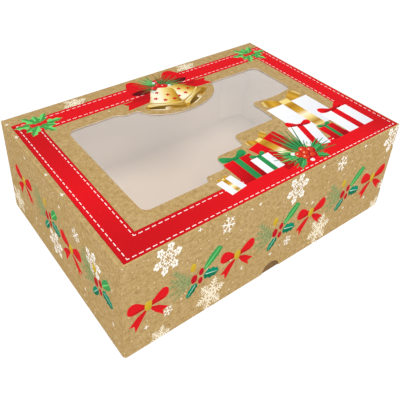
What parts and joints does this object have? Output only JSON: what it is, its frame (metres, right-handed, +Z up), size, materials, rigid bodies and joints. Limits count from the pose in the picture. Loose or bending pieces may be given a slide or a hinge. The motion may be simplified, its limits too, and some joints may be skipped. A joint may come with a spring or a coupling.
{
  "type": "cookie box",
  "caption": "Kraft board cookie box: a tray with glued corners and a full-depth lid that swings up on a back crease, with a die-cut film window and a thumb notch.",
  "frame": {"origin": "on the table, under the middle of the closed box", "axes": "+X along the long side to the right, +Y from the notched front to the hinged back, +Z up"},
  "size_m": [0.222, 0.153, 0.0745],
  "materials": {
    "printed_kraft": "matte",
    "white_board": "matte",
    "clear_film": "gloss",
    "glue": "satin"
  },
  "bodies": {
    "base": {"base_floor": "white_board", "base_front_wall": "white_board", "base_back_wall": "printed_kraft", "base_left_wall": "white_board", "base_right_wall": "white_board", "base_front_left_tab": "white_board", "base_front_right_tab": "white_board", "base_back_left_tab": "white_board", "base_back_right_tab": "white_board", "base_front_left_glue": "glue", "base_front_right_glue": "glue", "base_back_left_glue": "glue", "base_back_right_glue": "glue"},
    "lid": {"lid_top_panel": "printed_kraft", "lid_front_wall": "printed_kraft", "lid_left_wall": "printed_kraft", "lid_right_wall": "printed_kraft", "lid_left_corner_tab": "printed_kraft", "lid_right_corner_tab": "printed_kraft", "lid_left_tab_glue": "glue", "lid_right_tab_glue": "glue", "window_film": "clear_film", "window_glue_line": "glue"}
  },
  "joints": [
    {"name": "lid_hinge", "type": "hinge", "parent": "base", "child": "lid", "pos_m": [0, 0.0765, 0.0745], "axis": [-1, 0, 0], "range_deg": [0, 200]}
  ]
}
